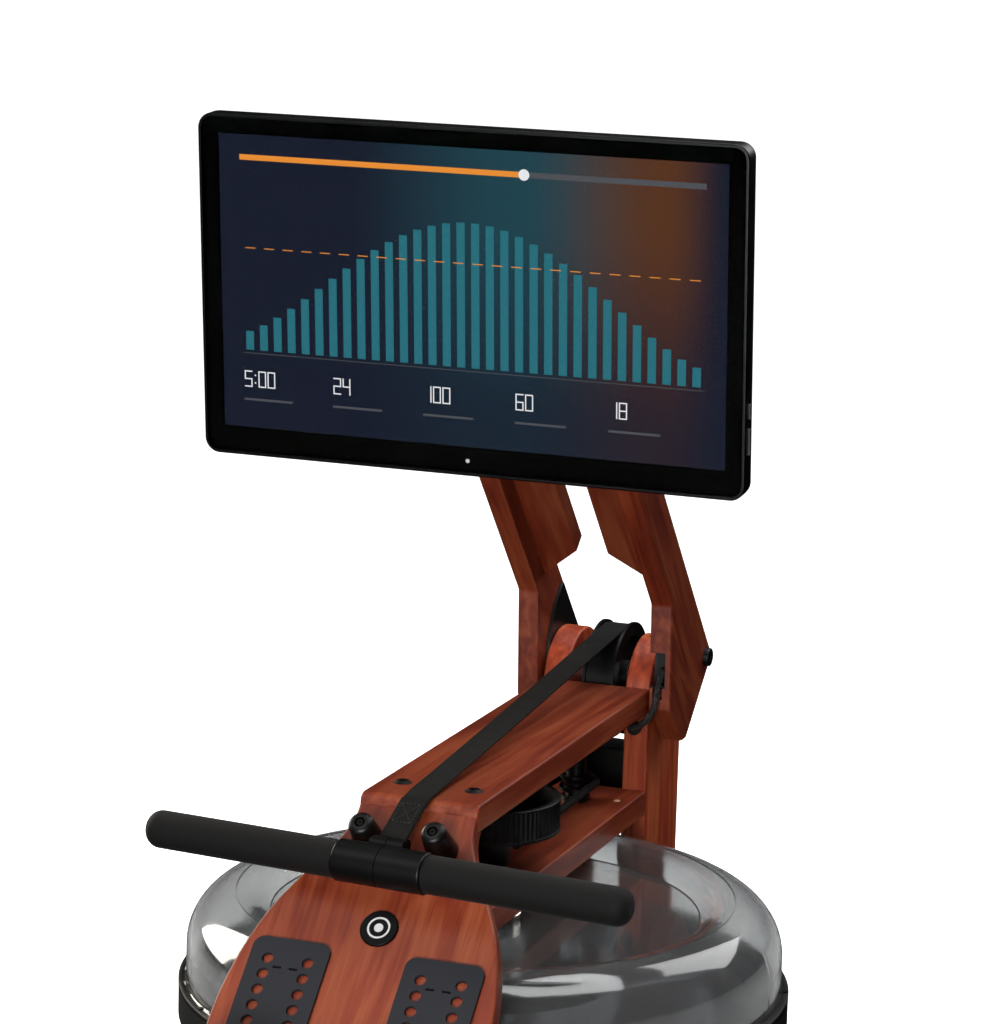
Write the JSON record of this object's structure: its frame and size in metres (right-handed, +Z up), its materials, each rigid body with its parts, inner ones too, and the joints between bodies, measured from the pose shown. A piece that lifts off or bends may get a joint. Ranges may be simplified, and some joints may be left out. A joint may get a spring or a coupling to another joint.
{
  "type": "rowing machine",
  "caption": "Wooden water-resistance rowing machine with a clear round tank, sliding seat, pull handle on a strap, sloping footboard and a flat screen on a leaning neck.",
  "frame": {"origin": "middle of the footprint, on the floor, on the machine's middle plane", "axes": "+X is the rower's right, +Y the way the rower faces (towards the tank and screen), +Z up"},
  "size_m": [0.568, 2.12, 1.0544],
  "materials": {
    "cherry_wood": "satin stained, straight grain",
    "track_plastic": "matte",
    "black_rubber": "matte",
    "black_metal": "satin powder coat",
    "dark_screw": "black oxide",
    "clear_tank": "clear moulded polycarbonate",
    "tank_band": "satin black",
    "clear_fins": "clear",
    "water": "water, still",
    "black_plastic": "fine texture",
    "bearing_steel": "ground",
    "steel": "satin",
    "webbing": "woven webbing",
    "bungee": "braided cover over rubber",
    "peg_rubber": "satin",
    "badge_black": "bevelled gloss",
    "braid": "braided sleeve",
    "bezel_metal": "dark grey satin",
    "screen_glass": "clear polished cover",
    "screen_picture": "lit display",
    "shell_plastic": "fine texture",
    "button_plastic": "satin",
    "grip_foam": "matte foam",
    "gloss_black": "satin gloss",
    "pulley_plastic": "moulded",
    "drum_plastic": "moulded, ribbed",
    "paddle_plastic": "moulded",
    "seat_cover": "stretched knit cover over foam",
    "wheel_rubber": "smooth",
    "plate_plastic": "slate grey, fine texture"
  },
  "bodies": {
    "frame": {"rails": "cherry_wood", "seat_tracks": "track_plastic", "uprights": "cherry_wood", "top_deck": "cherry_wood", "lower_deck": "cherry_wood", "footboard": "cherry_wood", "rear_legs": "cherry_wood", "foot_bars": "cherry_wood", "rubber_feet": "black_rubber", "castor_brackets": "black_metal", "bolts": "dark_screw", "button_screws": "dark_screw", "tank_upper_shell": "clear_tank", "tank_lower_shell": "clear_tank", "tank_ring": "tank_band", "tank_baffles": "clear_fins", "tank_water": "water", "tank_pads": "black_rubber", "fill_plug": "black_plastic", "shaft_bearings": "bearing_steel", "pulley_axle": "steel", "pull_strap": "webbing", "drum_strap": "webbing", "guide_posts": "steel", "bungee_cord": "bungee", "sensor_box": "black_plastic", "pivot_plates": "black_metal", "pivot_bolts": "black_metal", "handle_pegs": "peg_rubber", "badge": "badge_black", "foot_straps": "webbing", "strap_buckles": "black_plastic", "seat_stops": "black_rubber", "display_lead": "braid", "lead_gland": "black_plastic"},
    "neck": {"neck_arms": "cherry_wood", "cable_port": "black_plastic", "arm_flanges": "cherry_wood", "neck_bracket": "black_metal"},
    "screen": {"screen_bezel": "bezel_metal", "screen_glass": "screen_glass", "screen_panel": "screen_picture", "screen_rear_shell": "shell_plastic"},
    "power_button": {"power_button": "button_plastic"},
    "volume_rocker": {"volume_rocker": "button_plastic"},
    "handle": {"handle_tube": "steel", "handle_grips": "grip_foam", "handle_bracket": "gloss_black"},
    "top_pulley": {"top_pulley": "pulley_plastic"},
    "drive_drum": {"drive_drum": "drum_plastic"},
    "bungee_roller": {"bungee_roller": "pulley_plastic"},
    "paddle": {"paddle": "paddle_plastic"},
    "seat": {"seat_base": "cherry_wood", "seat_carriage": "black_metal", "seat_pad": "seat_cover"},
    "seat_wheels_front": {"seat_wheels_front": "wheel_rubber"},
    "seat_wheels_rear": {"seat_wheels_rear": "wheel_rubber"},
    "footplate_left": {"footplate_left": "plate_plastic"},
    "footplate_right": {"footplate_right": "plate_plastic"},
    "castor_wheels": {"castor_wheels": "wheel_rubber"}
  },
  "joints": [
    {"name": "seat_slide", "type": "slide", "parent": "frame", "child": "seat", "axis": [0, -0.9996, 0.028], "range_m": [0, 0.92]},
    {"name": "seat_wheels_front_spin", "type": "hinge", "parent": "seat", "child": "seat_wheels_front", "pos_m": [0, 0.07465, 0.21174], "axis": [1, 0, 0], "continuous": true},
    {"name": "seat_wheels_rear_spin", "type": "hinge", "parent": "seat", "child": "seat_wheels_rear", "pos_m": [0, -0.06529, 0.21566], "axis": [1, 0, 0], "continuous": true},
    {"name": "handle_pull", "type": "slide", "parent": "frame", "child": "handle", "axis": [0, -0.9962, 0.0872], "range_m": [0, 1.2], "deforming": ["pull_strap"]},
    {"name": "top_pulley_spin", "type": "hinge", "parent": "frame", "child": "top_pulley", "pos_m": [0, 0.982, 0.464], "axis": [1, 0, 0], "continuous": true},
    {"name": "drive_drum_spin", "type": "hinge", "parent": "frame", "child": "drive_drum", "pos_m": [0, 0.624, 0.415], "axis": [0, 0, 1], "continuous": true},
    {"name": "bungee_roller_spin", "type": "hinge", "parent": "frame", "child": "bungee_roller", "pos_m": [0.002, 0.864, 0.384], "axis": [0, 0, 1], "continuous": true},
    {"name": "paddle_spin", "type": "hinge", "parent": "frame", "child": "paddle", "pos_m": [0, 0.624, 0.22], "axis": [0, 0, 1], "continuous": true},
    {"name": "neck_fold", "type": "hinge", "parent": "frame", "child": "neck", "pos_m": [0, 1.025, 0.484], "axis": [1, 0, 0], "range_deg": [0, 28], "deforming": ["display_lead"]},
    {"name": "screen_tilt", "type": "hinge", "parent": "neck", "child": "screen", "pos_m": [0, 0.588, 0.905], "axis": [1, 0, 0], "range_deg": [-12, 15]},
    {"name": "power_button_press", "type": "slide", "parent": "screen", "child": "power_button", "axis": [-1, 0, 0], "range_m": [0, 0.001], "stiffness_N_per_m": 600, "springref_m": -0.0005},
    {"name": "volume_rocker_rock", "type": "hinge", "parent": "screen", "child": "volume_rocker", "pos_m": [0.252, 0.55554, 0.79478], "axis": [0, -0.9969, -0.0785], "range_deg": [-2.5, 2.5], "stiffness_Nm_per_rad": 0.06},
    {"name": "heel_slide_right", "type": "slide", "parent": "frame", "child": "footplate_right", "axis": [0, 0.7071, 0.7071], "range_m": [0, 0.06]},
    {"name": "heel_slide_left", "type": "slide", "parent": "frame", "child": "footplate_left", "axis": [0, 0.7071, 0.7071], "range_m": [0, 0.06]},
    {"name": "castor_wheels_spin", "type": "hinge", "parent": "frame", "child": "castor_wheels", "pos_m": [0, 1.035, 0.046], "axis": [1, 0, 0], "continuous": true}
  ],
  "couplings": [
    {"joint": "seat_wheels_front_spin", "follows": "seat_slide", "rad_per_m": 41.667},
    {"joint": "seat_wheels_rear_spin", "follows": "seat_slide", "rad_per_m": 41.667},
    {"joint": "top_pulley_spin", "follows": "handle_pull", "rad_per_m": 18.587},
    {"joint": "drive_drum_spin", "follows": "handle_pull", "rad_per_m": -14.663},
    {"joint": "bungee_roller_spin", "follows": "handle_pull", "rad_per_m": -19.8}
  ]
}
